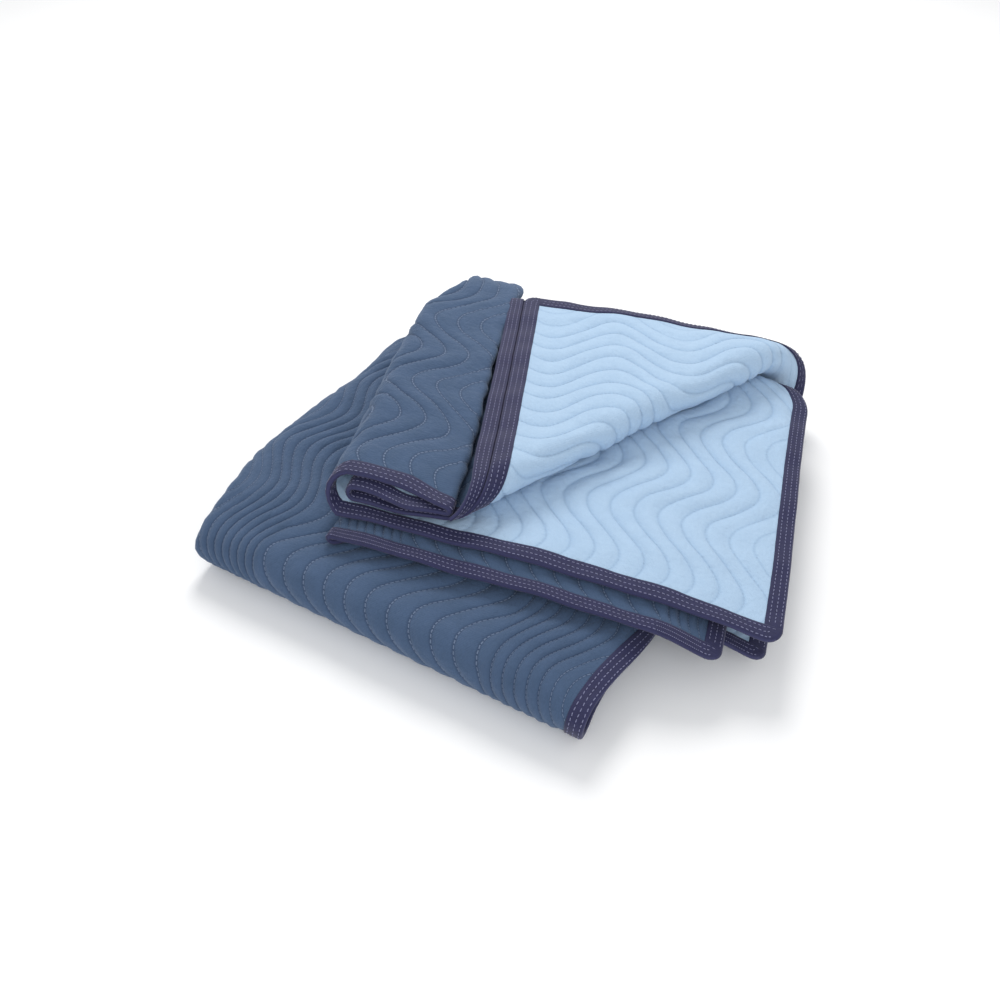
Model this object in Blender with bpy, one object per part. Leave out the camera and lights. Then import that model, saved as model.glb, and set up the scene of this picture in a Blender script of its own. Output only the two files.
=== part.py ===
"""Folded moving blanket: one quilted sheet and four binding tapes.

Metres, +Z up, the folded stack stands on Z = 0. X runs along the front roll
of the lower part, Y runs from the front roll to the back wrap.

The sheet is folded once along its length (sides X and Y of the pair, light
face inside), then in four across its length. Distances over the flat sheet:
"reach" is measured from the long fold, "run" from the front end.
"""

import math

import bmesh
import bpy
import numpy as np

# The flat sheet
SHEET_WIDTH = 1.143
SHEET_LENGTH = 1.829
LONG_SIDE = 0.603                       # reach of side X, the outer one
SHORT_SIDE = SHEET_WIDTH - LONG_SIDE    # reach of side Y, the inner one
THICKNESS = 0.0058
TAPE_WIDTH = 0.0165
TAPE_THICKNESS = 0.0010
TAPE_GAP = 0.0004
EDGE_THICKNESS = 0.0028                 # quilt pressed thin under the tape

# The long fold
PAIR_OFFSET = 0.0039                    # pair's middle to each layer's middle
FOLD_ARC = PAIR_OFFSET * math.pi / 2
MID_REACH = LONG_SIDE / 2

# The path of the pair, front roll first
BOTTOM_Z = 0.0068
FRONT_RADIUS = 0.0203
INNER_RADIUS = 0.0075
OUTER_RADIUS = 0.0359
FRONT_Y = -0.163
BACK_Y = 0.258
INNER_BACK_Y = 0.252
SKEW = math.radians(5.0)                # of the back fold against the front roll
HALF_RUN = SHEET_LENGTH / 2
SECOND_Z = BOTTOM_Z + 2 * FRONT_RADIUS
THIRD_SCALE = 0.83                      # slack taken up in the hidden third layer
ROLL_ARC = FRONT_RADIUS * math.pi / 2

# How each layer of the pair lies across X: one row for each stretch of the run
LAYOUT = (
    # run, middle, gather of the outer parts (1 is true size), end bend
    (0.000, -0.0075, 1.000, 0.0),
    (0.310, -0.0170, 1.000, 0.0),
    (0.430, -0.0270, 0.430, 0.0),
    (0.600, -0.0220, 0.400, 0.0),
    (0.860, -0.0375, 0.370, 0.0),
    (0.925, -0.0375, 0.410, 0.0),
    (1.110, -0.0375, 0.597, 1.0),
    (1.230, -0.0250, 0.597, 1.0),
    (1.345, -0.0120, 0.500, 0.0),
    (1.470, 0.0101, 0.388, 0.0),
    (1.829, 0.0101, 0.388, 0.0),
)
EVEN_SPAN = 0.120                       # laid flat at true size out to here
TRUE_EDGE = TAPE_WIDTH + 0.003          # and again next to the tape
BEND_START = 0.195
BEND_RADIUS = 0.0257

# The strip turned over along the left side of the top layer
STRIP_FRONT = 0.1170
STRIP_BACK = 0.104
STRIP_RADIUS = 0.0115
STRIP_RADIUS_FRONT = 0.0095
STRIP_STRETCH = 1.20
STRIP_FADE = (0.310, 0.470)
STRIP_TUCK = 0.012                      # the inner turn lies this much further in
STRIP_SETBACK_Y = 0.028
STRIP_SETBACK_X = 0.004
SIDE_X_SETBACK = 0.014
END_X_SETBACK = 0.034                   # of side X at the back end of the sheet
SIDE_X_SPREAD = 0.14
STRIP_SETBACK_RUN = (0.05, 0.30)        # the setbacks change over these runs
SIDE_SETBACK_RUN = (0.1, 0.45)
END_SETBACK_RUN = (1.5, 1.8)

# The corner turned back over the top
ROLL_FRONT = (-0.0860, 0.0175)          # ends of the roll's start line, top plane
ROLL_BACK = (0.2150, 0.4260)
CORNER = (-0.1150, 0.3615)              # where the turned corner lies
CORNER_LEG_FRONT = 0.385                # the turned corner's two legs on the sheet
CORNER_LEG_SIDE = 0.345
CORNER_RADIUS = 0.0160
CORNER_REST = 0.0220
CORNER_SETTLE = 0.060
PULL_FADE_FRONT = 0.080                 # the layer is drawn along this far from the roll
PULL_FADE_BACK = 0.280
CORNER_LIFT = 0.0025                    # the layer rises this much towards the roll
LIFT_END = (0.39, 0.45)                 # and lies flat again over this way back
PULL_REACH = (0.150, 0.205)             # the pull sets in over this reach from the long fold
PULL_RUN = (0.345, 0.600)               # and dies out over this run
CORNER_CELLS = 16                       # mesh cells along each leg

# The overhang at the right
DROOP_START = 0.100
DROOP_REACH = 0.197
DROOP = 0.0240
THIRD_DROOP = 0.24                      # the third layer's corner hangs lower by this factor
THIRD_DROOP_RUN = (1.4, 1.8)
THIRD_DROOP_START = 0.195
DROOP_LOW = 0.030
DROOP_HIGH = 0.055

# Rows of mesh cells across the sheet, as runs from the front end
WRAP_END = 0.465
BOTTOM_RUNS = (0.510, 0.560, 0.620, 0.750)
SECOND_RUNS = (0.968, 0.988, 1.008, 1.028, 1.048, 1.074, 1.110, 1.230, 1.255, 1.280, 1.305, 1.335)
THIRD_RUNS = (1.430, 1.470, 1.640, SHEET_LENGTH - 0.024)

CLOTH_COLOUR = (0.105, 0.150, 0.235, 1.0)
TAPE_COLOUR = (0.030, 0.026, 0.085, 1.0)


def smooth(x, low, high):
    t = np.clip((x - low) / (high - low), 0.0, 1.0)
    return t * t * (3 - 2 * t)


def layout_at(run):
    """Middle, gather and end bend at a run along the sheet."""
    middle = np.full_like(run, LAYOUT[0][1])
    gather = np.full_like(run, LAYOUT[0][2])
    bend = np.full_like(run, LAYOUT[0][3])
    for before, after in zip(LAYOUT, LAYOUT[1:]):
        t = smooth(run, before[0], after[0])
        middle += t * (after[1] - before[1])
        gather += t * (after[2] - before[2])
        bend += t * (after[3] - before[3])
    return middle, gather, bend


def pair_section(across, height):
    """Place across the long fold: distance along the pair and offset from its middle."""
    reach = np.abs(across)
    side = np.where(across < 0, 1.0, -1.0)
    radius = PAIR_OFFSET + height
    turn = reach < FOLD_ARC
    angle = np.minimum(reach, FOLD_ARC) / PAIR_OFFSET
    along = np.where(turn, -radius * np.cos(angle), reach - FOLD_ARC)
    offset = side * np.where(turn, radius * np.sin(angle), radius)
    return along, offset


def strip_width(run):
    width = STRIP_FRONT + (STRIP_BACK - STRIP_FRONT) * np.clip(run / STRIP_FADE[0], 0, 1)
    return width - (STRIP_BACK + 0.03) * smooth(run, *STRIP_FADE)


def strip_radius(run):
    return STRIP_RADIUS_FRONT + (STRIP_RADIUS - STRIP_RADIUS_FRONT) * smooth(run, 0.0, 0.30)


def turn_strip(along, offset, run, across):
    """Turn the pair's closed edge over on top of the top layer."""
    width = strip_width(run)
    inner = (across < 0) * smooth(np.abs(across), 0.0, STRIP_BACK)
    line = width + STRIP_TUCK * inner * smooth(width, 0.0, STRIP_BACK)
    past = np.maximum(line - along, 0.0)
    top = run < STRIP_FADE[1] + 0.05
    radius = strip_radius(run)
    angle = np.minimum(past / radius, math.pi)
    extra = np.maximum(past - math.pi * radius, 0.0) * STRIP_STRETCH
    turned_along = line - (radius - offset) * np.sin(angle) + extra
    turned_offset = radius - (radius - offset) * np.cos(angle)
    lie = top & (past > 0)
    setback = np.where(across < 0, STRIP_SETBACK_X, STRIP_SETBACK_Y)
    blend = smooth(np.abs(across), 0.0, STRIP_BACK * 0.5)
    middle = (STRIP_SETBACK_X + STRIP_SETBACK_Y) / 2
    setback = middle + (setback - middle) * blend
    back = setback * angle / math.pi * (1 - smooth(run, *STRIP_SETBACK_RUN))
    return (np.where(lie, turned_along, along), np.where(lie, turned_offset, offset),
            np.where(lie, back, 0.0))


def spread(along, run, across):
    """Lay the pair across X, with its ends gathered in where layers are hidden."""
    middle, gather, bend = layout_at(run)
    q = np.maximum(along, 0.0) + FOLD_ARC - MID_REACH
    size = np.abs(q)
    edge = np.where(across < 0, LONG_SIDE, SHORT_SIDE) - MID_REACH - TRUE_EDGE
    edge = np.where(q < 0, 1.0, edge)
    gather = np.where((across < 0) & (q > 0), gather + (1 - gather) * SIDE_X_SPREAD, gather)
    even = np.minimum(size, EVEN_SPAN) + np.maximum(size - edge, 0.0)
    even = even + gather * np.clip(size - EVEN_SPAN, 0.0, edge - EVEN_SPAN)
    tip = np.minimum(along, 0.0)
    return middle, np.sign(q) * even, tip, bend


def bend_ends(x, tip, bend, offset):
    """Bend the two ends of a layer inward, as the ends of a pillow."""
    side = np.sign(x)
    size = np.abs(x) - np.where(side < 0, tip, 0.0)
    past = np.maximum(size - BEND_START, 0.0)
    amount = np.maximum(bend, 1e-6)
    curve = BEND_RADIUS / amount
    arc = np.minimum(past, BEND_RADIUS * math.pi / 2)
    angle = arc / curve
    straight = past - arc
    out = np.minimum(size, BEND_START) + curve * np.sin(angle) + straight * np.cos(angle)
    down = curve * (1 - np.cos(angle)) + straight * np.sin(angle)
    return side * (out + offset * np.sin(angle)), offset * np.cos(angle) - down


def turn_corner(x, back, offset, run, across):
    """Turn the free corner of side X back over a diagonal roll."""
    shift = LAYOUT[0][1] - MID_REACH
    edge = LONG_SIDE + shift
    front_end = np.array((edge - CORNER_LEG_FRONT, 0.0))
    side_end = np.array((edge, CORNER_LEG_SIDE))
    line = side_end - front_end
    length = np.linalg.norm(line)
    line = line / length
    normal = np.array((line[1], -line[0]))
    rx = np.abs(across) + shift - front_end[0]
    ry = run - front_end[1]
    share = (rx * line[0] + ry * line[1]) / length
    past = rx * normal[0] + ry * normal[1]
    start = np.array(ROLL_FRONT)
    finish = np.array(ROLL_BACK)
    world_line = finish - start
    world_normal = np.array((world_line[1], -world_line[0])) / np.linalg.norm(world_line)
    corner_share = ((edge - front_end[0]) * line[0]) / length
    corner_past = (edge - front_end[0]) * normal[0]
    foot = start + corner_share * world_line
    lean = (np.array(CORNER) - foot) / (corner_past - math.pi * CORNER_RADIUS)
    arc = np.clip(past / CORNER_RADIUS, 0.0, math.pi)
    flat = np.maximum(past - math.pi * CORNER_RADIUS, 0.0)
    level = offset - PAIR_OFFSET
    sideways = (CORNER_RADIUS - level) * np.sin(arc)
    line_x = start[0] + share * world_line[0]
    line_y = start[1] + share * world_line[1]
    settle = 1 - np.exp(-flat / CORNER_SETTLE)
    rise = CORNER_RADIUS - (CORNER_RADIUS - level) * np.cos(arc)
    rise = rise - settle * (2 * CORNER_RADIUS - CORNER_REST)
    lower = np.minimum(past, 0.0)
    beyond = past > 0
    fade = PULL_FADE_FRONT + (PULL_FADE_BACK - PULL_FADE_FRONT) * np.clip(share, 0.0, 1.0)
    near = smooth(past, -fade, 0.0 * fade) * smooth(np.abs(across), *PULL_REACH)
    near = np.where(beyond, 1.0, near * (1 - smooth(run, *PULL_RUN)))
    pulled_x = line_x + lower * world_normal[0]
    pulled_y = line_y + lower * world_normal[1]
    turned_x = line_x + sideways * world_normal[0] + flat * lean[0]
    turned_y = line_y + sideways * world_normal[1] + flat * lean[1]
    new_x = np.where(beyond, turned_x, x + near * (pulled_x - x))
    new_back = np.where(beyond, turned_y, back + near * (pulled_y - back))
    lifted = CORNER_LIFT * near * (1 - smooth(new_back + math.tan(SKEW) * new_x, *LIFT_END))
    new_offset = np.where(beyond, PAIR_OFFSET + rise, offset) + lifted
    ours = (across < 0) & (np.abs(across) > PULL_REACH[0]) & (run < PULL_RUN[1])
    lift = np.where(ours & beyond, np.maximum(rise - level, 1e-9), 0.0)
    return (np.where(ours, new_x, x), np.where(ours, new_back, back),
            np.where(ours, new_offset, offset), lift)


def along_path(x, run, offset, lift, slide):
    """Carry a flat place round the front roll and the skewed back fold."""
    outer = run < HALF_RUN
    distance = np.abs(run - HALF_RUN) - slide
    angle = np.clip(distance / FRONT_RADIUS, 0.0, math.pi / 2)
    reach = FRONT_RADIUS + offset
    updown = np.where(outer, -1.0, 1.0)
    flat = np.maximum(distance - ROLL_ARC, 0.0)
    flat_y = FRONT_Y - reach * np.cos(angle) + flat
    low_z = BOTTOM_Z + FRONT_RADIUS + updown * reach * np.sin(angle)
    wrap_y = np.where(outer, BACK_Y, INNER_BACK_Y)
    radius = np.where(outer, OUTER_RADIUS, INNER_RADIUS)
    outward = np.where(outer, offset, -offset)
    past = (flat_y - wrap_y) * math.cos(SKEW) - x * math.sin(SKEW)
    ahead = x * math.cos(SKEW) + (flat_y - wrap_y) * math.sin(SKEW)
    from_top = math.pi * radius - past
    wide = radius + lift
    turn = np.where(lift > 0, math.pi - np.clip(from_top / wide, 0.0, math.pi),
                    np.clip(past / radius, 0.0, math.pi))
    upper = np.where(lift > 0, np.maximum(-from_top, 0.0), np.maximum(past - math.pi * radius, 0.0))
    upper = np.where(outer, upper, upper * THIRD_SCALE)
    fold_out = (radius + outward) * np.sin(turn) - upper
    centre_z = np.where(outer, BOTTOM_Z + OUTER_RADIUS, SECOND_Z + INNER_RADIUS)
    wrap_z = centre_z - (radius + outward) * np.cos(turn)
    folded = past > 0
    new_x = ahead * math.cos(SKEW) - fold_out * math.sin(SKEW)
    new_y = wrap_y + ahead * math.sin(SKEW) + fold_out * math.cos(SKEW)
    return np.where(folded, new_x, x), np.where(folded, new_y, flat_y), np.where(folded, wrap_z, low_z)


def place(across, run, height):
    """A place in the sheet's thickness, in the folded stack."""
    across, run, height = np.broadcast_arrays(*(np.asarray(v, float) for v in (across, run, height)))
    along, offset = pair_section(across, height)
    along, offset, strip_back = turn_strip(along, offset, run, across)
    middle, even, tip, bend = spread(along, run, across)
    bent_x, bent_offset = bend_ends(even, tip, bend, offset)
    bending = bend > 1e-3
    x = middle + np.where(bending, bent_x, even + tip)
    offset = np.where(bending, bent_offset, offset)
    setback = SIDE_X_SETBACK * (1 - smooth(run, *SIDE_SETBACK_RUN))
    setback = setback + END_X_SETBACK * smooth(run, *END_SETBACK_RUN)
    slide = strip_back + np.where(across < 0, setback, 0.0) * smooth(np.abs(across), 0.0, 0.1)
    x, back, offset, lift = turn_corner(x, run + slide, offset, run, across)
    slide = back - run
    px, py, pz = along_path(x, run, offset, lift, slide)
    over = np.maximum(px - DROOP_START, 0.0) / DROOP_REACH
    hang = THIRD_DROOP * smooth(run, *THIRD_DROOP_RUN) * np.maximum(px - THIRD_DROOP_START, 0.0) ** 1.2
    pz = pz - (DROOP * over ** 1.6 + hang) * smooth(pz, DROOP_LOW, DROOP_HIGH)
    return np.stack([px, py, pz], -1)


def cross_lines(run, side_edge, side, inset):
    """Places across one side of the sheet, from the fold's crest to its edge."""
    width = strip_width(run)
    line = np.maximum(width, 0.018) + FOLD_ARC
    if side < 0:
        line = line + STRIP_TUCK * smooth(width, 0.0, STRIP_BACK)
    turn = np.minimum(math.pi * strip_radius(run), line - FOLD_ARC - 0.004)
    places = [line * 0 + FOLD_ARC * 0.5, line * 0 + FOLD_ARC]
    for share in (0.0, 0.2, 0.4, 0.6, 0.8, 1.0):
        places.append(line - turn * (1 - share))
    start = LONG_SIDE - CORNER_LEG_FRONT
    places.append((line + start) * 0.5)
    cell = CORNER_LEG_FRONT / CORNER_CELLS
    for index in range(CORNER_CELLS):
        place_at = start + cell * index
        used = side < 0 or index % 2 == 0
        if used and place_at < side_edge - TAPE_WIDTH - 0.006:
            places.append(line * 0 + place_at)
    places.append(line * 0 + side_edge - TAPE_WIDTH)
    places.append(line * 0 + side_edge - inset)
    return side * np.array(places)


def across_lines(run, inset=TAPE_GAP + 0.0011):
    """Every place across the sheet at one run, side X's edge first."""
    left = cross_lines(run, LONG_SIDE, -1, inset)[::-1]
    right = cross_lines(run, SHORT_SIDE, 1, inset)
    crest = np.zeros((1,) + left.shape[1:])
    return np.concatenate([left, crest, right], 0)


def run_lines(inset):
    """Every place along the sheet, front end first, as measured at X = 0."""
    cell = CORNER_LEG_SIDE / CORNER_CELLS
    runs = [inset, TAPE_WIDTH]
    runs += [cell * index for index in range(1, CORNER_CELLS + 1)]
    runs += list(np.linspace(CORNER_LEG_SIDE, WRAP_END, 11)[1:])
    runs += [*BOTTOM_RUNS, HALF_RUN - ROLL_ARC]
    runs += list(np.linspace(HALF_RUN - ROLL_ARC, HALF_RUN + ROLL_ARC, 6)[1:])
    runs += SECOND_RUNS
    turn = math.pi * INNER_RADIUS / math.cos(SKEW)
    inner_start = HALF_RUN + ROLL_ARC + INNER_BACK_Y - FRONT_Y
    runs += list(np.linspace(inner_start - 0.001, inner_start + turn + 0.001, 7))
    runs += [*THIRD_RUNS, SHEET_LENGTH - TAPE_WIDTH, SHEET_LENGTH - inset]
    return np.array(runs)


def skewed(run, across):
    """Let the lines across the sheet follow the skewed inner fold."""
    along, offset = pair_section(across, 0.0)
    middle, even, tip, bend = spread(along, run, across)
    window = smooth(run, 1.25, 1.36) * (1 - smooth(run, 1.42, 1.55))
    return run + window * math.tan(SKEW) * (middle + even)


def add_solid(name, corners, loops, material):
    mesh = bpy.data.meshes.new(name)
    mesh.from_pydata([tuple(c) for c in corners.tolist()], [], loops)
    body = bmesh.new()
    body.from_mesh(mesh)
    bmesh.ops.recalc_face_normals(body, faces=body.faces)
    body.to_mesh(mesh)
    body.free()
    mesh.materials.append(material)
    thing = bpy.data.objects.new(name, mesh)
    COLLECTION.objects.link(thing)
    return thing


def surface_loops(rows, columns, base, flip):
    """Triangles of a grid; side X's cells are cut along the corner's roll."""
    loops = []
    fold = len(cross_lines(np.array([0.5]), LONG_SIDE, -1, 0.0))
    for row in range(rows - 1):
        for column in range(columns - 1):
            a = base + row * columns + column
            b = a + 1
            c = a + columns + 1
            d = a + columns
            if column < fold:
                pair = ((a, b, d), (b, c, d))
            else:
                pair = ((a, b, c), (a, c, d))
            for loop in pair:
                loops.append(loop[::-1] if flip else loop)
    return loops


def build_panel(material):
    inset = TAPE_GAP + TAPE_THICKNESS
    runs = run_lines(inset)
    across = across_lines(runs, inset).T
    run = np.repeat(runs[:, None], across.shape[1], 1)
    to_edge = np.minimum(np.minimum(run, SHEET_LENGTH - run),
                         np.minimum(LONG_SIDE + across, SHORT_SIDE - across))
    half = np.where(to_edge < TAPE_WIDTH + 0.001, EDGE_THICKNESS, THICKNESS) / 2
    rows, columns = across.shape
    run = skewed(run, across)
    face = place(across, run, half).reshape(-1, 3)
    back = place(across, run, -half).reshape(-1, 3)
    total = rows * columns
    loops = surface_loops(rows, columns, 0, False)
    loops += surface_loops(rows, columns, total, True)
    rim = list(range(columns))
    rim += [row * columns + columns - 1 for row in range(1, rows)]
    rim += [(rows - 1) * columns + column for column in range(columns - 2, -1, -1)]
    rim += [row * columns for row in range(rows - 2, 0, -1)]
    for index, one in enumerate(rim):
        two = rim[(index + 1) % len(rim)]
        if index < rows + columns - 2:
            loops.append((one, total + one, total + two))
            loops.append((one, total + two, two))
        else:
            loops.append((one, total + one, two))
            loops.append((total + one, total + two, two))
    return add_solid("quilt_panel", np.concatenate([face, back]), loops, material)


def tape_section():
    """Distance from the sheet's edge and height, round the U of a tape."""
    inner = EDGE_THICKNESS / 2 + TAPE_GAP
    outer = inner + TAPE_THICKNESS
    wall = TAPE_THICKNESS
    return ((TAPE_WIDTH, outer), (0.0006, outer), (0.0, inner), (0.0, -inner), (0.0006, -outer),
            (TAPE_WIDTH, -outer), (TAPE_WIDTH, -inner), (wall, -inner), (wall, inner), (TAPE_WIDTH, inner))


def build_tape(name, across, run, material):
    """A tape from the places of its section at each step along it."""
    steps, around = across.shape
    depths = [depth for depth, height in tape_section()]
    heights = np.array([height for depth, height in tape_section()])
    run = skewed(run, across)
    corners = place(across, run, np.repeat(heights[None, :], steps, 0)).reshape(-1, 3)
    reach = np.abs(across).reshape(-1)
    runs = run.reshape(-1)
    loops = []
    for step in range(steps - 1):
        for index in range(around):
            following = (index + 1) % around
            a = step * around + index
            b = step * around + following
            c = b + around
            d = a + around
            rising = (reach[c] - reach[a]) * (runs[c] - runs[a])
            wall = abs(depths[index] - depths[following]) < 1e-9 and depths[index] < TAPE_WIDTH
            if (heights[index] > heights[following]) if wall else rising > 0:
                loops.append((a, b, c))
                loops.append((a, c, d))
            else:
                loops.append((a, b, d))
                loops.append((b, c, d))
    for base, flip in ((0, True), ((steps - 1) * around, False)):
        for cap in ((0, 1, 8, 9), (1, 2, 8), (2, 3, 7, 8), (3, 4, 7), (4, 5, 6, 7)):
            loop = [base + index for index in cap]
            loops.append(tuple(loop[::-1] if flip else loop))
    return add_solid(name, corners, loops, material)


def build_end_tape(name, at_front, material):
    depths = np.array([depth for depth, height in tape_section()])
    runs = depths if at_front else SHEET_LENGTH - depths
    across = across_lines(runs, 0.0)
    steps = across.shape[0]
    return build_tape(name, across, np.repeat(runs[None, :], steps, 0), material)


def build_side_tape(name, side, material):
    depths = np.array([depth for depth, height in tape_section()])
    start = TAPE_WIDTH + TAPE_GAP
    runs = run_lines(start)
    runs = runs[(runs >= start) & (runs <= SHEET_LENGTH - start)]
    edge = LONG_SIDE if side < 0 else SHORT_SIDE
    across = np.repeat((side * (edge - depths))[None, :], len(runs), 0)
    return build_tape(name, across, np.repeat(runs[:, None], len(depths), 1), material)


def make_material(name, colour, roughness):
    material = bpy.data.materials.new(name)
    material.use_nodes = True
    shader = material.node_tree.nodes["Principled BSDF"]
    shader.inputs["Base Color"].default_value = colour
    shader.inputs["Roughness"].default_value = roughness
    return material


for old in list(bpy.data.objects):
    bpy.data.objects.remove(old, do_unlink=True)

COLLECTION = bpy.data.collections.new("moving_blanket")
bpy.context.scene.collection.children.link(COLLECTION)

cloth = make_material("quilted_cloth", CLOTH_COLOUR, 0.92)
tape = make_material("binding_tape", TAPE_COLOUR, 0.80)
made = [
    build_panel(cloth),
    build_end_tape("binding_front_end", True, tape),
    build_end_tape("binding_back_end", False, tape),
    build_side_tape("binding_left_side", -1, tape),
    build_side_tape("binding_right_side", 1, tape),
]

# Centre the stack on the origin
corners = np.concatenate([np.array([v.co[:] for v in thing.data.vertices]) for thing in made])
low = corners.min(0)
high = corners.max(0)
shift = np.array([-(low[0] + high[0]) / 2, -(low[1] + high[1]) / 2, -low[2]])
for thing in made:
    for vertex in thing.data.vertices:
        vertex.co = (vertex.co[0] + shift[0], vertex.co[1] + shift[1], vertex.co[2] + shift[2])
    thing.data.update()
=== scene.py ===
import math

import bpy
import numpy as np
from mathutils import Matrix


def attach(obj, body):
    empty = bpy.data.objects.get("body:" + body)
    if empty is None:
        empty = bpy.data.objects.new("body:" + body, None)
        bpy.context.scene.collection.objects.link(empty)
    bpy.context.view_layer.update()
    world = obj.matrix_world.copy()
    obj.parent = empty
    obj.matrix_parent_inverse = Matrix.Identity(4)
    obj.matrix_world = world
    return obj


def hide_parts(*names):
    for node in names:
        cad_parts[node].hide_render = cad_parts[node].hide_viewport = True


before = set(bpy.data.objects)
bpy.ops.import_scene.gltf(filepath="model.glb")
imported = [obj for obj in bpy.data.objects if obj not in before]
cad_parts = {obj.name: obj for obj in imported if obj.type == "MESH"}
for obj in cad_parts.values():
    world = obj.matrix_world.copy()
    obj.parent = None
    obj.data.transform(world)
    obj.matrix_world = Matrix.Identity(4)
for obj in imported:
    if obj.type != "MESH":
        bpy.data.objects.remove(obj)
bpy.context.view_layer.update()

# metres; a point of the sheet is across (negative on the outer side), run along it, and height (grey side up)
sheet = dict(width=1.143, length=1.829, outerSide=0.603, innerSide=0.540, cornerRound=0.016)

fold = dict(
    pairOffset=0.0039,                     # pair's middle to each layer's middle
    bottom=0.0068, frontRadius=0.0203, innerRadius=0.0075, outerRadius=0.0359,
    front=-0.163, back=0.258, innerBack=0.252,
    skew=math.radians(5.0),                # of the back fold against the front roll
    hiddenScale=0.83,                      # slack taken up in the hidden third layer
    evenSpan=0.120, trueEdge=0.0195, bendStart=0.195, bendRadius=0.0257,
    skewRows=((1.25, 1.36), (1.42, 1.55)),  # rows turn askew and back over these runs
    centre=(-0.01779038, -0.07299148),     # brings the stack over the origin
    floorGap=0.0003,
)

layout = (
    # run, middle, gather of the outer parts, end bend
    (0.000, -0.0075, 1.000, 0.0),
    (0.310, -0.0170, 1.000, 0.0),
    (0.430, -0.0270, 0.430, 0.0),
    (0.600, -0.0220, 0.400, 0.0),
    (0.860, -0.0375, 0.370, 0.0),
    (0.925, -0.0375, 0.410, 0.0),
    (1.110, -0.0375, 0.597, 1.0),
    (1.230, -0.0250, 0.597, 1.0),
    (1.345, -0.0120, 0.500, 0.0),
    (1.470, 0.0101, 0.388, 0.0),
    (1.829, 0.0101, 0.388, 0.0),
)

strip = dict(
    front=0.1170, back=0.104, widthRun=0.310, radius=0.0115, frontRadius=0.0095, radiusRun=(0.0, 0.30),
    stretch=1.20, fade=(0.370, 0.525), overrun=0.03, spare=0.05, tuck=0.012,
    innerSetback=0.028, outerSetback=0.004, setbackRun=(0.05, 0.30),
    sideSetback=0.014, sideRun=(0.1, 0.45), endSetback=0.034, endRun=(1.5, 1.8),
    sideReach=0.1, sideSpread=0.14,
)

corner = dict(
    rollFront=(-0.0860, 0.0175), rollBack=(0.2150, 0.4260), lie=(-0.1150, 0.3615),
    legFront=0.385, legSide=0.345, radius=0.0160, rest=0.0220, settle=0.060,
    pullFront=0.080, pullBack=0.280, pullReach=(0.150, 0.205), pullRun=(0.345, 0.600),
    lift=0.0025, liftEnd=(0.39, 0.45),
)

droop = dict(
    start=0.100, reach=0.197, fall=0.0240, curve=1.6, low=0.030, high=0.055,
    third=0.24, thirdRun=(1.4, 1.8), thirdStart=0.195, thirdCurve=1.2,
)

ripple = dict(
    height=0.0011, low=0.02, high=0.06,
    waves=((41, 23, 0.7, 1.0), (-35, 67, 2.1, 0.8), (103, 61, 4.0, 0.5), (-87, 151, 0.0, 0.4)),
    # each wave: radians per metre along X and Y, phase, share
)

quilt = dict(
    pitch=0.0229, period=0.130, sway=0.0225,          # wavy rows, crest to crest
    stitchLow=0.0009, puffHigh=0.0035, crown=0.62, underTape=0.0014,
    pucker=0.07, puckerPitch=0.021, puckerShift=2.3,  # small puffs along each row
    columns=(0.0, 0.09, 0.29, 0.5, 0.71, 0.91), rowStep=0.0062, fadeWave=0.045,
    rim=0.0014, nearest=0.0012, foldZone=0.010,
)

tape = dict(
    width=0.0165, rows=(0.0030, 0.0080, 0.0130), step=0.0045, under=0.0148, closing=0.0028,
    flatEnd=0.84, flatLength=0.004, puffs=((0.05, 0.037, 0.0), (0.04, 0.0213, 1.0)),
)

thread = dict(
    stitch=0.0031, pitch=0.0043, wide=0.00042, thick=0.00030, above=0.00012, drift=0.00022,
    endMargin=0.006, sideMargin=0.0185, rowShift=0.0011,
)


def smooth(x, low, high):
    t = np.clip((x - low) / (high - low), 0.0, 1.0)
    return t * t * (3 - 2 * t)


def layoutAt(run):
    values = [np.full_like(run, layout[0][k]) for k in (1, 2, 3)]
    for before, after in zip(layout, layout[1:]):
        t = smooth(run, before[0], after[0])
        for k in range(3):
            values[k] += t * (after[k + 1] - before[k + 1])
    return values


foldArc = fold["pairOffset"] * math.pi / 2
midReach = sheet["outerSide"] / 2
halfRun = sheet["length"] / 2


def pairSection(across, height):           # folded once along the sheet
    reach = np.abs(across)
    side = np.where(across < 0, 1.0, -1.0)
    radius = fold["pairOffset"] + height
    turning = reach < foldArc
    angle = np.minimum(reach, foldArc) / fold["pairOffset"]
    along = np.where(turning, -radius * np.cos(angle), reach - foldArc)
    return along, side * np.where(turning, radius * np.sin(angle), radius)


def turnStrip(along, offset, run, across):  # the left strip of the top pair, turned over
    back = strip["back"]
    width = strip["front"] + (back - strip["front"]) * np.clip(run / strip["widthRun"], 0, 1)
    width = width - (back + strip["overrun"]) * smooth(run, *strip["fade"])
    wider = (strip["radius"] - strip["frontRadius"]) * smooth(run, *strip["radiusRun"])
    radius = strip["frontRadius"] + wider
    inner = (across < 0) * smooth(np.abs(across), 0.0, back)
    line = width + strip["tuck"] * inner * smooth(width, 0.0, back)
    past = np.maximum(line - along, 0.0)
    angle = np.minimum(past / radius, math.pi)
    extra = np.maximum(past - math.pi * radius, 0.0) * strip["stretch"]
    lie = (run < strip["fade"][1] + strip["spare"]) & (past > 0)
    middle = (strip["outerSetback"] + strip["innerSetback"]) / 2
    setback = np.where(across < 0, strip["outerSetback"], strip["innerSetback"])
    setback = middle + (setback - middle) * smooth(np.abs(across), 0.0, back * 0.5)
    slide = setback * angle / math.pi * (1 - smooth(run, *strip["setbackRun"]))
    return (np.where(lie, line - (radius - offset) * np.sin(angle) + extra, along),
            np.where(lie, radius - (radius - offset) * np.cos(angle), offset),
            np.where(lie, slide, 0.0))


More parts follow.
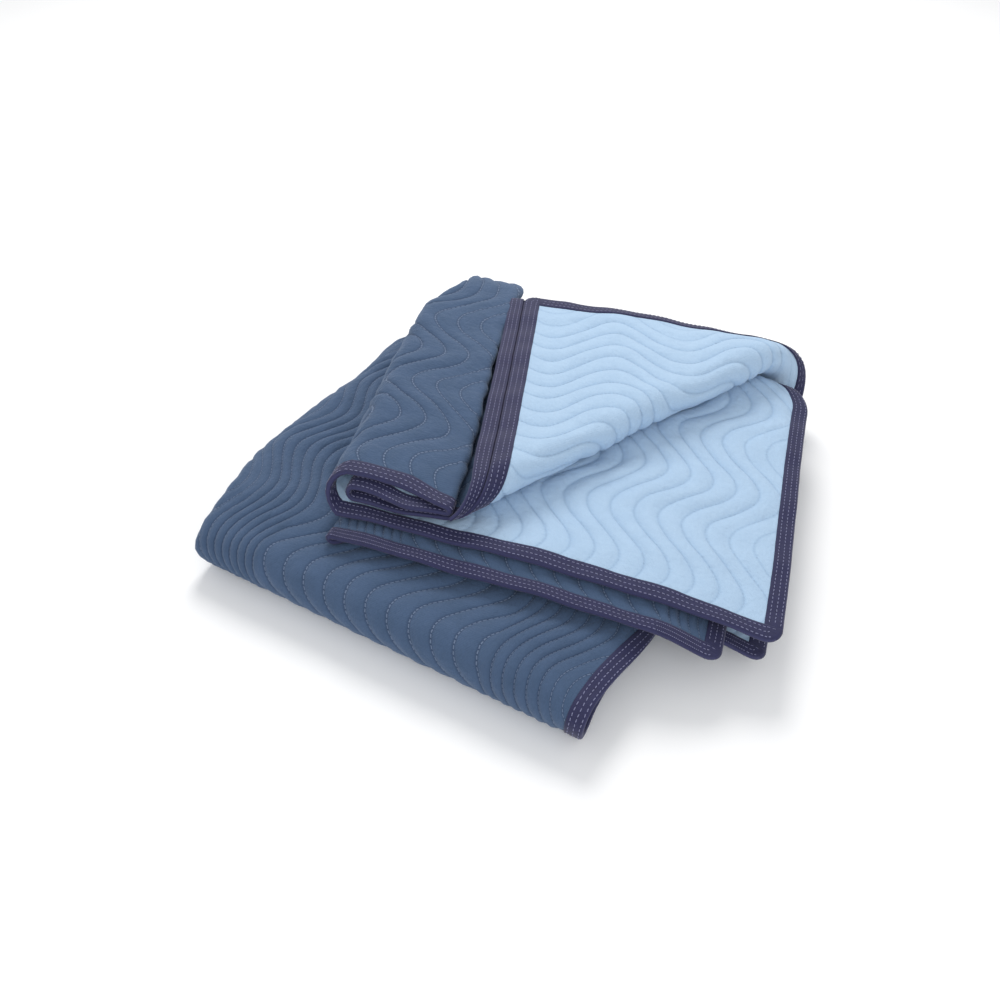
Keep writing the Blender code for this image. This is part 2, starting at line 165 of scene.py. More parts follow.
def spread(along, run, across):
    middle, gather, bend = layoutAt(run)
    q = np.maximum(along, 0.0) + foldArc - midReach
    size = np.abs(q)
    edge = np.where(across < 0, sheet["outerSide"], sheet["innerSide"]) - midReach - fold["trueEdge"]
    edge = np.where(q < 0, 1.0, edge)
    gather = np.where((across < 0) & (q > 0), gather + (1 - gather) * strip["sideSpread"], gather)
    even = np.minimum(size, fold["evenSpan"]) + np.maximum(size - edge, 0.0)
    even = even + gather * np.clip(size - fold["evenSpan"], 0.0, edge - fold["evenSpan"])
    return middle, np.sign(q) * even, np.minimum(along, 0.0), bend


def bendEnds(x, tip, bend, offset):        # the lowest layers' right end, rounded down
    side = np.sign(x)
    size = np.abs(x) - np.where(side < 0, tip, 0.0)
    past = np.maximum(size - fold["bendStart"], 0.0)
    curve = fold["bendRadius"] / np.maximum(bend, 1e-6)
    arc = np.minimum(past, fold["bendRadius"] * math.pi / 2)
    angle = arc / curve
    out = np.minimum(size, fold["bendStart"]) + curve * np.sin(angle) + (past - arc) * np.cos(angle)
    down = curve * (1 - np.cos(angle)) + (past - arc) * np.sin(angle)
    return side * (out + offset * np.sin(angle)), offset * np.cos(angle) - down


def turnCorner(x, back, offset, run, across):  # the top corner, rolled back along a slanting line
    shift = layout[0][1] - midReach
    edge = sheet["outerSide"] + shift
    frontEnd, sideEnd = np.array((edge - corner["legFront"], 0.0)), np.array((edge, corner["legSide"]))
    line = sideEnd - frontEnd
    length = np.linalg.norm(line)
    line = line / length
    normal = np.array((line[1], -line[0]))
    rx, ry = np.abs(across) + shift - frontEnd[0], run - frontEnd[1]
    share = (rx * line[0] + ry * line[1]) / length
    past = rx * normal[0] + ry * normal[1]
    start, finish = np.array(corner["rollFront"]), np.array(corner["rollBack"])
    worldLine = finish - start
    worldNormal = np.array((worldLine[1], -worldLine[0])) / np.linalg.norm(worldLine)
    foot = start + corner["legFront"] * line[0] / length * worldLine
    roll = math.pi * corner["radius"]
    lean = (np.array(corner["lie"]) - foot) / (corner["legFront"] * normal[0] - roll)
    arc = np.clip(past / corner["radius"], 0.0, math.pi)
    flat = np.maximum(past - math.pi * corner["radius"], 0.0)
    level = offset - fold["pairOffset"]
    sideways = (corner["radius"] - level) * np.sin(arc)
    lineX, lineY = start[0] + share * worldLine[0], start[1] + share * worldLine[1]
    rise = corner["radius"] - (corner["radius"] - level) * np.cos(arc)
    rise = rise - (1 - np.exp(-flat / corner["settle"])) * (2 * corner["radius"] - corner["rest"])
    lower, beyond = np.minimum(past, 0.0), past > 0
    fade = corner["pullFront"] + (corner["pullBack"] - corner["pullFront"]) * np.clip(share, 0.0, 1.0)
    near = smooth(past, -fade, 0.0) * smooth(np.abs(across), *corner["pullReach"])
    near = np.where(beyond, 1.0, near * (1 - smooth(run, *corner["pullRun"])))
    pulledX, pulledY = lineX + lower * worldNormal[0], lineY + lower * worldNormal[1]
    turnedX = lineX + sideways * worldNormal[0] + flat * lean[0]
    turnedY = lineY + sideways * worldNormal[1] + flat * lean[1]
    newX = np.where(beyond, turnedX, x + near * (pulledX - x))
    newBack = np.where(beyond, turnedY, back + near * (pulledY - back))
    lifted = corner["lift"] * near * (1 - smooth(newBack + math.tan(fold["skew"]) * newX, *corner["liftEnd"]))
    newOffset = np.where(beyond, fold["pairOffset"] + rise, offset) + lifted
    ours = (across < 0) & (np.abs(across) > corner["pullReach"][0]) & (run < corner["pullRun"][1])
    lift = np.where(ours & beyond, np.maximum(rise - level, 1e-9), 0.0)
    return (np.where(ours, newX, x), np.where(ours, newBack, back),
            np.where(ours, newOffset, offset), lift)


def alongPath(x, run, offset, lift, slide):  # the front roll and the two back folds
    radius, skew = fold["frontRadius"], fold["skew"]
    outer = run < halfRun
    distance = np.abs(run - halfRun) - slide
    angle = np.clip(distance / radius, 0.0, math.pi / 2)
    reach = radius + offset
    flatY = fold["front"] - reach * np.cos(angle) + np.maximum(distance - radius * math.pi / 2, 0.0)
    lowZ = fold["bottom"] + radius + np.where(outer, -1.0, 1.0) * reach * np.sin(angle)
    wrapY = np.where(outer, fold["back"], fold["innerBack"])
    wrap = np.where(outer, fold["outerRadius"], fold["innerRadius"])
    outward = np.where(outer, offset, -offset)
    past = (flatY - wrapY) * math.cos(skew) - x * math.sin(skew)
    ahead = x * math.cos(skew) + (flatY - wrapY) * math.sin(skew)
    fromTop = math.pi * wrap - past
    turn = np.where(lift > 0, math.pi - np.clip(fromTop / (wrap + lift), 0.0, math.pi),
                    np.clip(past / wrap, 0.0, math.pi))
    upper = np.maximum(-fromTop, 0.0) * np.where(outer, 1.0, fold["hiddenScale"])
    foldOut = (wrap + outward) * np.sin(turn) - upper
    second = fold["bottom"] + 2 * radius
    centreZ = np.where(outer, fold["bottom"] + wrap, second + wrap)
    wrapZ = centreZ - (wrap + outward) * np.cos(turn)
    folded = past > 0
    newX = ahead * math.cos(skew) - foldOut * math.sin(skew)
    newY = wrapY + ahead * math.sin(skew) + foldOut * math.cos(skew)
    return np.where(folded, newX, x), np.where(folded, newY, flatY), np.where(folded, wrapZ, lowZ)


def roundCorners(across, run):             # the sheet's own cut corners
    r = sheet["cornerRound"]
    left, right = across + sheet["outerSide"], sheet["innerSide"] - across
    bottom, top = run, sheet["length"] - run
    a, b = np.minimum(left, right), np.minimum(bottom, top)
    level, over = np.minimum(a, b), np.abs(a - b)
    size = np.maximum(r - level, 1e-9)
    near = (level < r) & (over < size) & (level >= -1e-6)
    theta = (1 - np.clip(over / size, 0, 1)) * math.pi / 4
    longer, shorter = r - size * np.sin(theta), r - size * np.cos(theta)
    newA = np.where(near, np.where(a >= b, longer, shorter), a)
    newB = np.where(near, np.where(a >= b, shorter, longer), b)
    return (np.where(left <= right, newA - sheet["outerSide"], sheet["innerSide"] - newA),
            np.where(bottom <= top, newB, sheet["length"] - newB))


def place(across, run, height):            # a point of the sheet, in the folded stack
    across, run, height = np.broadcast_arrays(*(np.asarray(v, float) for v in (across, run, height)))
    across, run = roundCorners(across, run)
    along, offset = pairSection(across, height)
    along, offset, stripBack = turnStrip(along, offset, run, across)
    middle, even, tip, bend = spread(along, run, across)
    bentX, bentOffset = bendEnds(even, tip, bend, offset)
    bending = bend > 1e-3
    x = middle + np.where(bending, bentX, even + tip)
    offset = np.where(bending, bentOffset, offset)
    setback = strip["sideSetback"] * (1 - smooth(run, *strip["sideRun"]))
    setback = setback + strip["endSetback"] * smooth(run, *strip["endRun"])
    slide = stripBack + np.where(across < 0, setback, 0.0) * smooth(np.abs(across), 0.0, strip["sideReach"])
    x, back, offset, lift = turnCorner(x, run + slide, offset, run, across)
    px, py, pz = alongPath(x, run, offset, lift, back - run)
    over = np.maximum(px - droop["start"], 0.0) / droop["reach"]
    beyond = np.maximum(px - droop["thirdStart"], 0.0)
    hang = droop["third"] * smooth(run, *droop["thirdRun"]) * beyond ** droop["thirdCurve"]
    fall = droop["fall"] * over ** droop["curve"] + hang
    pz = pz - fall * smooth(pz, droop["low"], droop["high"])
    uneven = sum(share * np.sin(alongX * px + alongY * py + phase)
                 for alongX, alongY, phase, share in ripple["waves"])
    pz = pz + ripple["height"] * uneven * smooth(pz, ripple["low"], ripple["high"])
    pz = np.maximum(pz, fold["floorGap"])  # lies flat on the floor
    return np.stack([px + fold["centre"][0], py + fold["centre"][1], pz], -1)


def skewedRun(run, across):                # rows follow the slanting inner fold
    along, offset = pairSection(across, 0.0)
    middle, even, tip, bend = spread(along, run, across)
    window = smooth(run, *fold["skewRows"][0]) * (1 - smooth(run, *fold["skewRows"][1]))
    return run + window * math.tan(fold["skew"]) * (middle + even)


def waveAt(run):
    return quilt["sway"] * np.sin(2 * math.pi * run / quilt["period"])


def edgeDistance(across, run):
    side = np.minimum(across + sheet["outerSide"], sheet["innerSide"] - across)
    return np.minimum(side, np.minimum(run, sheet["length"] - run))


def clothHeight(across, run):              # half the quilt's thickness, thin in each stitched row
    phase = (across - waveAt(run)) / quilt["pitch"]
    crown = np.abs(np.sin(math.pi * phase)) ** quilt["crown"]
    puff = quilt["stitchLow"] + (quilt["puffHigh"] - quilt["stitchLow"]) * crown
    small = np.sin(2 * math.pi * run / quilt["puckerPitch"] + quilt["puckerShift"] * np.floor(phase))
    puff = puff * (1 + quilt["pucker"] * small)
    inside = smooth(edgeDistance(across, run), tape["width"] - 0.003, tape["width"] + 0.014)
    return quilt["underTape"] + (puff - quilt["underTape"]) * inside, phase


def addMesh(name, points, faces, layers):
    mesh = bpy.data.meshes.new(name)
    mesh.from_pydata(points.reshape(-1, 3).tolist(), [], faces)
    loopVertex = np.array([loop.vertex_index for loop in mesh.loops])
    for layerName, values in layers.items():
        layer = mesh.uv_layers.new(name=layerName)
        layer.data.foreach_set("uv", values.reshape(-1, 2)[loopVertex].ravel().astype(np.float32))
    mesh.polygons.foreach_set("use_smooth", np.ones(len(mesh.polygons), bool))
    mesh.update()
    piece = bpy.data.objects.new(name, mesh)
    bpy.context.scene.collection.objects.link(piece)
    return piece


def gridFaces(rows, columns, flip=False):
    i = np.arange(rows - 1)[:, None] * columns + np.arange(columns - 1)[None, :]
    quads = np.stack([i, i + 1, i + columns + 1, i + columns], -1).reshape(-1, 4)
    return (quads[:, ::-1] if flip else quads).tolist()


def addNode(tree, kind, links=None, **settings):
    node = tree.nodes.new(kind)
    values = settings.pop("inputs", {})
    for key, value in settings.items():
        setattr(node, key, value)
    for key, value in values.items():
        node.inputs[key].default_value = value
    for key, source in (links or {}).items():
        tree.links.new(source, node.inputs[key])
    return node


def linear(text):                          # sRGB hex to linear
    parts = [int(text[i:i + 2], 16) / 255 for i in (1, 3, 5)]
    return tuple(c / 12.92 if c <= 0.04045 else ((c + 0.055) / 1.055) ** 2.4 for c in parts) + (1.0,)


def emptyMaterial(name):
    material = bpy.data.materials.new(name)
    material.use_nodes = True
    material.node_tree.nodes.clear()
    return material, material.node_tree


def blend(tree, factor, first, second, **settings):  # two colours, each a hex text or a socket
    mix = addNode(tree, "ShaderNodeMix", {"Factor": factor}, data_type="RGBA", **settings)
    for index, colour in ((6, first), (7, second)):
        if isinstance(colour, str):
            mix.inputs[index].default_value = linear(colour)
        else:
            tree.links.new(colour, mix.inputs[index])
    return mix.outputs[2]


def step(tree, value, start, end, low, high):  # a soft step from low to high
    node = addNode(tree, "ShaderNodeMapRange", {"Value": value}, interpolation_type="SMOOTHSTEP",
                   inputs={"From Min": start, "From Max": end, "To Min": low, "To Max": high})
    return node.outputs[0]


def clothMaterial(name, look):
    material, tree = emptyMaterial(name)
    flatMap = addNode(tree, "ShaderNodeUVMap", uv_map="flat")      # metres on the sheet
    rowMap = addNode(tree, "ShaderNodeUVMap", uv_map="rows")       # stitched rows, run in metres
    rows = addNode(tree, "ShaderNodeSeparateXYZ", {"Vector": rowMap.outputs[0]})
    soft = addNode(tree, "ShaderNodeTexNoise", {"Vector": flatMap.outputs[0]},
                   inputs={"Scale": 45.0, "Detail": 6.0, "Roughness": 0.72})  # 22 mm patches down to fuzz
    fine = addNode(tree, "ShaderNodeTexNoise", {"Vector": flatMap.outputs[0]},
                   inputs={"Scale": 620.0, "Detail": 2.0, "Roughness": 0.7})  # 1.6 mm fuzz
    base = blend(tree, soft.outputs[0], look["dark"], look["light"])
    fuzz = blend(tree, fine.outputs[0], base, look["fuzz"], blend_type="MULTIPLY")
    distance = addNode(tree, "ShaderNodeMath", {0: rows.outputs[0]}, operation="PINGPONG", inputs={1: 0.5})
    # painted shade: the colour darkens towards each sewn row, where the puffs dip into a groove
    grooveShade = step(tree, distance.outputs[0], 0.0, 0.13, look["grooveShade"], 0.0)
    shaded = blend(tree, grooveShade, fuzz, look["grooveShadeColour"])
    line = step(tree, distance.outputs[0], look["threadHalf"] * 0.6, look["threadHalf"] * 1.2, 1.0, 0.0)
    beat = addNode(tree, "ShaderNodeMath", {0: rows.outputs[1]}, operation="PINGPONG",
                   inputs={1: look["stitch"] / 2})
    gap = look["stitch"] * look["gap"]
    dash = step(tree, beat.outputs[0], gap * 0.35, gap * 0.65, 0.0, 1.0)
    seen = addNode(tree, "ShaderNodeMath", {0: line, 1: dash}, operation="MULTIPLY")
    sewn = addNode(tree, "ShaderNodeMath", {0: seen.outputs[0]}, operation="MULTIPLY",
                   inputs={1: look["threadShows"]})
    colour = blend(tree, sewn.outputs[0], shaded, look["thread"])
    weave = addNode(tree, "ShaderNodeTexWave", {"Vector": flatMap.outputs[0]}, wave_type="BANDS",
                    bands_direction="DIAGONAL",
                    inputs={"Scale": 260.0, "Distortion": 1.5, "Detail": 1.0})  # 1.2 mm twill
    relief = addNode(tree, "ShaderNodeMath", {0: weave.outputs["Fac"], 1: fine.outputs[0]},
                     operation="MULTIPLY")
    wrinkle = addNode(tree, "ShaderNodeTexNoise", {"Vector": flatMap.outputs[0]},
                      inputs={"Scale": 150.0, "Detail": 4.0, "Roughness": 0.62})  # 7 mm puckers
    puckers = addNode(tree, "ShaderNodeBump", {"Height": wrinkle.outputs[0]},
                      inputs={"Strength": look["pucker"], "Distance": 0.0036})
    cloth = addNode(tree, "ShaderNodeBump", {"Height": relief.outputs[0], "Normal": puckers.outputs[0]},
                    inputs={"Strength": 0.55, "Distance": 0.0004})
    sewing = addNode(tree, "ShaderNodeBump", {"Height": seen.outputs[0], "Normal": cloth.outputs[0]},
                     inputs={"Strength": 0.7, "Distance": 0.0004})
    shader = addNode(tree, "ShaderNodeBsdfPrincipled",
                     {"Base Color": colour, "Normal": sewing.outputs[0]},
                     inputs={"Roughness": 0.92, "IOR": 1.47, "Specular IOR Level": 0.25,
                             "Sheen Weight": look["sheen"], "Sheen Roughness": 0.5,
                             "Sheen Tint": linear(look["sheenColour"])})
    addNode(tree, "ShaderNodeOutputMaterial", {"Surface": shader.outputs[0]})
    return material


# matt brushed cloth: a soft pale bloom at grazing angles, painted shade darkening the sewn grooves, with a
# paler thread
greyCloth = clothMaterial("brushed_grey_blue_polyester", dict(
    dark="#42566F", light="#526786", fuzz="#D9DCE2", grooveShade=0.70, grooveShadeColour="#2F3F59",
    thread="#8595B0", threadHalf=0.028, threadShows=0.55, stitch=0.0036, gap=0.30,
    pucker=0.50, sheen=0.25, sheenColour="#C9D6EA"))
# the same cloth in pale blue: a light bluish painted shade in the sewn grooves, and a thread that hardly
# shows
lightCloth = clothMaterial("brushed_pale_blue_polyester", dict(
    dark="#A9C3DC", light="#BAD2E8", fuzz="#EBEEF3", grooveShade=0.35, grooveShadeColour="#8FAECD",
    thread="#A3BAD4", threadHalf=0.026, threadShows=0.55, stitch=0.0036, gap=0.45,
    pucker=0.50, sheen=0.20, sheenColour="#E4EDF8"))


def tapeMaterial():                        # woven polyester tape, ribbed, with a low satin shine
    look = dict(dark="#20213F", light="#2C2D55", edgeHighlight="#3A3B63", rib=0.0006, edgeHighlightDepth=0.0016)
    material, tree = emptyMaterial("woven_indigo_tape")
    flatMap = addNode(tree, "ShaderNodeUVMap", uv_map="flat")      # depth from the edge, length along it
    parts = addNode(tree, "ShaderNodeSeparateXYZ", {"Vector": flatMap.outputs[0]})
    rib = addNode(tree, "ShaderNodeMath", {0: parts.outputs[1]}, operation="PINGPONG",
                  inputs={1: look["rib"]})
    rise = step(tree, rib.outputs[0], 0.0, look["rib"], 0.0, 1.0)
    noise = addNode(tree, "ShaderNodeTexNoise", {"Vector": flatMap.outputs[0]},
                    inputs={"Scale": 180.0, "Detail": 4.0, "Roughness": 0.6})  # 6 mm slubs
    base = blend(tree, noise.outputs[0], look["dark"], look["light"])
    # painted highlight: the tape is painted lighter along its rounded folded edge, where that edge catches
    # the light
    edge = step(tree, parts.outputs[0], 0.0, look["edgeHighlightDepth"], 0.55, 0.0)
    colour = blend(tree, edge, base, look["edgeHighlight"])
    ribs = addNode(tree, "ShaderNodeBump", {"Height": rise}, inputs={"Strength": 0.5, "Distance": 0.0003})
    bumps = addNode(tree, "ShaderNodeBump", {"Height": noise.outputs[0], "Normal": ribs.outputs[0]},
                    inputs={"Strength": 0.35, "Distance": 0.0012})
    shader = addNode(tree, "ShaderNodeBsdfPrincipled", {"Base Color": colour, "Normal": bumps.outputs[0]},
                     inputs={"Roughness": 0.72, "IOR": 1.5, "Specular IOR Level": 0.35,
                             "Sheen Weight": 0.15, "Sheen Roughness": 0.45})
    addNode(tree, "ShaderNodeOutputMaterial", {"Surface": shader.outputs[0]})
    return material


def threadMaterial():                      # spun polyester thread, twisted, a little bright on top: its twist bands carry a painted highlight on each ply ridge and painted shade between the plies
    material, tree = emptyMaterial("spun_sewing_thread")
    flatMap = addNode(tree, "ShaderNodeUVMap", uv_map="flat")
    twist = addNode(tree, "ShaderNodeTexWave", {"Vector": flatMap.outputs[0]},
                    bands_direction="DIAGONAL", inputs={"Scale": 500.0, "Distortion": 0.4})
    # painted highlight and painted shade: the twist bands alternate between a lighter and a darker thread
    # colour
    colour = blend(tree, twist.outputs["Fac"], "#5F6087", "#9596B4")
    bump = addNode(tree, "ShaderNodeBump", {"Height": twist.outputs["Fac"]},
                   inputs={"Strength": 0.4, "Distance": 0.0001})
    shader = addNode(tree, "ShaderNodeBsdfPrincipled", {"Base Color": colour, "Normal": bump.outputs[0]},
                     inputs={"Roughness": 0.6, "IOR": 1.5})
    addNode(tree, "ShaderNodeOutputMaterial", {"Surface": shader.outputs[0]})
    return material


def clothColumns():                        # mesh columns that follow the stitched rows
    first = math.floor(-sheet["outerSide"] / quilt["pitch"]) - 1
    last = math.ceil(sheet["innerSide"] / quilt["pitch"]) + 1
    base = [(k + part) * quilt["pitch"] for k in range(first, last) for part in quilt["columns"]]
    low, high = -sheet["outerSide"] + quilt["rim"], sheet["innerSide"] - quilt["rim"]
    inside = [u for u in base if low + quilt["nearest"] < u < high - quilt["nearest"]
              and abs(u) > quilt["foldZone"]]
    turn = [0.0, *(s * d for s in (-1, 1) for d in (0.0020, 0.0041, foldArc, 0.0083))]
    return np.array(sorted([low, high, *inside, *turn]))


def clothRows():
    low, high = quilt["rim"], sheet["length"] - quilt["rim"]
    count = math.ceil((high - low) / quilt["rowStep"])
    return np.linspace(low, high, count + 1)


def clothFace(name, side):
    columns, rows = clothColumns(), clothRows()
    u, run = np.meshgrid(columns, rows)
    toSide = np.minimum(u + sheet["outerSide"], sheet["innerSide"] - u)
    fade = smooth(toSide, 0.004, quilt["fadeWave"]) * smooth(np.abs(u), 0.009, 0.009 + quilt["fadeWave"])
    run = skewedRun(run, u)
    across = u + waveAt(run) * fade
    height, phase = clothHeight(across, run)
    points = place(across, run, side * height)
    flat = np.stack([across, run], -1)
    # drawn the same way round as the height, so the outer side is outward
    piece = addMesh(name, points, gridFaces(len(rows), len(columns), side < 0),
                    {"flat": flat, "rows": np.stack([phase + 200.0, run], -1)})
    return piece


greyFace = clothFace("quilt_grey_face", 1)
lightFace = clothFace("quilt_pale_face", -1)
print("cloth faces", len(greyFace.data.polygons), len(lightFace.data.polygons), flush=True)

tapeSection = (                            # depth from the edge, height; pressed in at each sewn row
    (0.0169, 0.0010), (0.0165, 0.0023), (0.0155, 0.0029), (0.0130, 0.0025), (0.0105, 0.0030),
    (0.0080, 0.0026), (0.0055, 0.0030), (0.0030, 0.0026), (0.0014, 0.0025), (0.0004, 0.0014), (0.0, 0.0),
)


def tapeHeight(depth):
    known = sorted(tapeSection)
    return np.interp(depth, [d for d, h in known], [h for d, h in known])


def edgePoint(edge, depth, length):        # across and run of a point on one of the four edges
    if edge == "front":
        return length - sheet["outerSide"], depth
    if edge == "back":
        return length - sheet["outerSide"], sheet["length"] - depth
    if edge == "left":
        return depth - sheet["outerSide"], length
    return sheet["innerSide"] - depth, length


tapeEdges = dict(
    binding_front_end="front", binding_back_end="back",
    binding_left_side="left", binding_right_side="right",
)


def rounded(distance, radius):             # rises as a quarter circle does
    return np.sqrt(np.clip(1 - (1 - np.clip(distance / radius, 0, 1)) ** 2, 0, 1))


def tapePiece(node, edge):
    ends = edge in ("front", "back")
    total = sheet["width"] if ends else sheet["length"]
    start = 0.0 if ends else tape["under"]  # the side tapes run in under the end tapes
    count = math.ceil((total - 2 * start) / tape["step"])
    length = np.linspace(start, total - start, count + 1)
    if ends:                               # closed at the sheet's corners
        near = np.array((0.0003, 0.0008, 0.0016, 0.0028))
        foldPlace = sheet["outerSide"] + np.array((-0.0041, -0.0020, 0.0, 0.0020, 0.0041))
        length = np.sort(np.concatenate([length, near, total - near, foldPlace]))
    section = list(tapeSection) + [(d, -h) for d, h in tapeSection[-2::-1]]
    depth = np.array([d for d, h in section])
    height = np.array([h for d, h in section])
    deep, far = np.meshgrid(depth, length)
    high = np.broadcast_to(height, deep.shape)
    fromEnd = np.minimum(far - start, total - start - far)
    if ends:
        scale = rounded(fromEnd, tape["closing"])
    else:
        scale = tape["flatEnd"] + (1 - tape["flatEnd"]) * smooth(fromEnd, 0.0, tape["flatLength"])
    uneven = 1 + sum(share * np.sin(far * 2 * math.pi / pitch + phase)
                     for share, pitch, phase in tape["puffs"])
    across, run = edgePoint(edge, deep, far)
    points = place(across, run, high * scale * uneven)
    flip = edge in ("front", "right")
    piece = addMesh("sewn_" + node, points, gridFaces(len(length), len(depth), flip),
                    {"flat": np.stack([deep, far], -1)})
    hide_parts(node)
    return piece


tapes = [tapePiece(node, edge) for node, edge in tapeEdges.items()]


doubled = dict(                            # second band that shows beside the turned corner's own tape
    start=0.006, end=0.372, widen=1.45,     # the section below, drawn out sideways
    rows=(-0.0085, -0.0055, -0.0025), rowShift=0.0006, surface=0.00075, middle=0.0012, closing=0.002,
)

doubledSection = (                         # depth from the edge, height on the grey side
    (0.0040, 0.0031), (0.0000, 0.0036), (-0.0025, 0.0033), (-0.0040, 0.0037), (-0.0055, 0.0033),
    (-0.0070, 0.0036), (-0.0085, 0.0032), (-0.0098, 0.0030), (-0.0106, 0.0021), (-0.0108, 0.0012),
    (-0.0106, 0.0003), (-0.0098, -0.0006), (-0.0085, -0.0008), (-0.0070, -0.0003), (-0.0055, -0.0008),
    (-0.0040, -0.0002), (-0.0025, -0.0007), (-0.0006, -0.0004),
)


def doubledDepth(deep, far):               # narrower where the corner rolls over
    narrow = 1 - 0.25 * (1 - smooth(doubled["end"] - far, 0.0, 0.10))
    return np.where(deep < 0, deep * narrow * doubled["widen"], deep)


def doubledPiece():
    count = math.ceil((doubled["end"] - doubled["start"]) / tape["step"])
    length = np.linspace(doubled["start"], doubled["end"], count + 1)
    length = np.sort(np.concatenate([length, doubled["start"] + np.array((0.0004, 0.0012))]))
    depth = np.array([d for d, h in doubledSection])
    height = np.array([h for d, h in doubledSection])
    deep, far = np.meshgrid(depth, length)
    closed = rounded(far - doubled["start"], doubled["closing"])
    across, run = edgePoint("front", doubledDepth(deep, far), far)
    points = place(across, run, doubled["middle"] + (height - doubled["middle"]) * closed)
    return addMesh("doubled_corner_band", points, gridFaces(len(length), len(depth), True),
                   {"flat": np.stack([deep - depth.min(), far], -1)})


doubledBand = doubledPiece()
print("tapes", sum(len(t.data.polygons) for t in tapes), flush=True)


stitchShape = (                            # share of its length, widths sideways, thicknesses up
    (0.0, 0, -0.5),
    (0.22, 1, 0.3), (0.22, 0, 1.2), (0.22, -1, 0.3), (0.22, 0, -0.6),
    (0.78, 1, 0.3), (0.78, 0, 1.2), (0.78, -1, 0.3), (0.78, 0, -0.6),
    (1.0, 0, -0.5),
)

stitchFaces = (
    (0, 2, 1), (0, 3, 2), (0, 4, 3), (0, 1, 4), (1, 2, 6, 5), (2, 3, 7, 6),
    (3, 4, 8, 7), (4, 1, 5, 8), (5, 6, 9), (6, 7, 9), (7, 8, 9), (8, 5, 9),
)


def tapeStitches(edge, begin, rowDepth, side):
    share, wide, lift = np.array(stitchShape).T
    drift = thread["drift"] * np.sin(begin * 311.0 + rowDepth * 900 + side)[:, None]
    far = begin[:, None] + share * thread["stitch"]
    deep = rowDepth + wide * thread["wide"] + drift * (1 - 2 * share)
    height = side * (tapeHeight(deep) + thread["above"] + lift * thread["thick"])
    return place(*edgePoint(edge, deep, far), height), deep, far


def doubledStitches(begin, rowDepth):
    share, wide, lift = np.array(stitchShape).T
    far = begin[:, None] + share * thread["stitch"]
    deep = np.broadcast_to(rowDepth + wide * thread["wide"] / doubled["widen"], far.shape)
    height = -(doubled["surface"] + thread["above"] + lift * thread["thick"])
    return place(*edgePoint("front", doubledDepth(deep, far), far), height), deep, far


def stitchPiece():                         # every stitch in the tapes' three rows, on both sides
    rows = []
    for edge in tapeEdges.values():
        ends = edge in ("front", "back")
        total = sheet["width"] if ends else sheet["length"]
        margin = thread["endMargin"] if ends else thread["sideMargin"]
        starts = np.arange(margin, total - margin - thread["stitch"], thread["pitch"])
        for rowDepth in tape["rows"]:
            begin = starts + thread["rowShift"] * (rowDepth * 1000 % 3)
            begin = begin[begin + thread["stitch"] < total - margin]
            for side in (1, -1):
                turned = side * (-1 if edge in ("front", "right") else 1) < 0
                rows.append((*tapeStitches(edge, begin, rowDepth, side), turned))
    starts = np.arange(doubled["start"] + 0.002, doubled["end"] - 0.006, thread["pitch"])
    for rowDepth in doubled["rows"]:
        begin = starts + doubled["rowShift"] * (rowDepth * 1000 % 3)
        rows.append((*doubledStitches(begin, rowDepth), False))
    faces, first = [], 0
    for points, deep, far, turned in rows:
        for n in range(len(points)):
            for face in stitchFaces:
                corners = face[::-1] if turned else face
                faces.append([first + c for c in corners])
            first += len(stitchShape)
    points = np.concatenate([row[0].reshape(-1, 3) for row in rows])
    flat = np.concatenate([np.stack([row[1], row[2]], -1).reshape(-1, 2) for row in rows])
    return addMesh("tape_stitches", points, faces, {"flat": flat})


stitches = stitchPiece()
print("stitches", len(stitches.data.polygons), flush=True)

greyFace.data.materials.append(greyCloth)
lightFace.data.materials.append(lightCloth)
indigo = tapeMaterial()
for piece in (*tapes, doubledBand):
    piece.data.materials.append(indigo)
stitches.data.materials.append(threadMaterial())

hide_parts("quilt_panel")
for piece in (greyFace, lightFace, *tapes, doubledBand, stitches):
    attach(piece, "root")


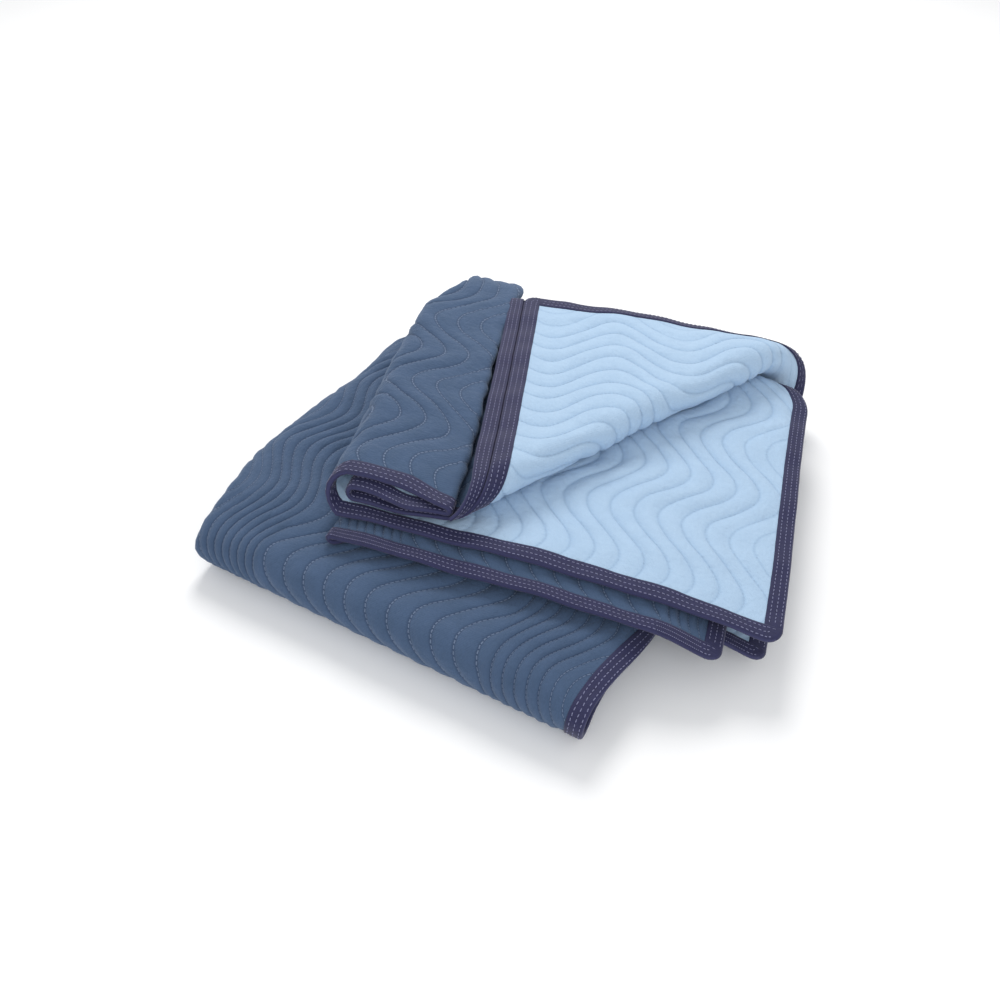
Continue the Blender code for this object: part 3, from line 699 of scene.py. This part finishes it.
def floorPiece():                          # pale plain floor, satin paint
    mesh = bpy.data.meshes.new("floor")
    mesh.from_pydata([(-6, -6, 0), (6, -6, 0), (6, 6, 0), (-6, 6, 0)], [], [(0, 1, 2, 3)])
    piece = bpy.data.objects.new("floor", mesh)
    bpy.context.scene.collection.objects.link(piece)
    material = bpy.data.materials.new("pale_floor")
    material.use_nodes = True
    shader = material.node_tree.nodes["Principled BSDF"]
    shader.inputs["Base Color"].default_value = linear("#FAFAFA")
    shader.inputs["Roughness"].default_value = 0.8
    mesh.materials.append(material)
    return piece


floorPiece()


lamps = dict(                              # metres and watts, each aimed at the stack
    key=dict(spot=(-0.8, 1.3, 1.7), size=1.0, power=30, colour=(1.0, 0.99, 0.97)),
    fill=dict(spot=(0.9, -1.5, 1.3), size=2.0, power=15, colour=(0.96, 0.98, 1.0)),
)


def softLight(name, look):
    data = bpy.data.lights.new(name, "AREA")
    data.shape, data.size, data.energy, data.color = "DISK", look["size"], look["power"], look["colour"]
    lamp = bpy.data.objects.new(name, data)
    lamp.location = look["spot"]
    direction = np.array((0, 0, 0.05)) - np.array(look["spot"])
    lamp.rotation_euler = (math.acos(-direction[2] / np.linalg.norm(direction)), 0,
                           math.atan2(direction[1], direction[0]) - math.pi / 2)
    bpy.context.scene.collection.objects.link(lamp)


for name, look in lamps.items():
    softLight(name, look)
world = bpy.data.worlds.new("studio")
world.use_nodes = True
world.node_tree.nodes["Background"].inputs[0].default_value = (0.97, 0.98, 1.0, 1.0)
world.node_tree.nodes["Background"].inputs[1].default_value = 0.66
bpy.context.scene.world = world
bpy.context.scene.view_settings.view_transform = "Standard"   # plain colours, as in the photo

cameraData = bpy.data.cameras.new("photo")
cameraData.lens, cameraData.sensor_width, cameraData.clip_start = 32.4, 36.0, 0.01
camera = bpy.data.objects.new("photo", cameraData)
azimuth, elevation, distance = math.radians(29), math.radians(45), 0.90
target = np.array((fold["centre"][0], fold["centre"][1], 0.045))
away = np.array((math.sin(azimuth) * math.cos(elevation), -math.cos(azimuth) * math.cos(elevation),
                 math.sin(elevation)))
camera.location = target + distance * away
camera.rotation_euler = (math.pi / 2 - elevation, 0, azimuth)
bpy.context.scene.collection.objects.link(camera)
bpy.context.scene.camera = camera
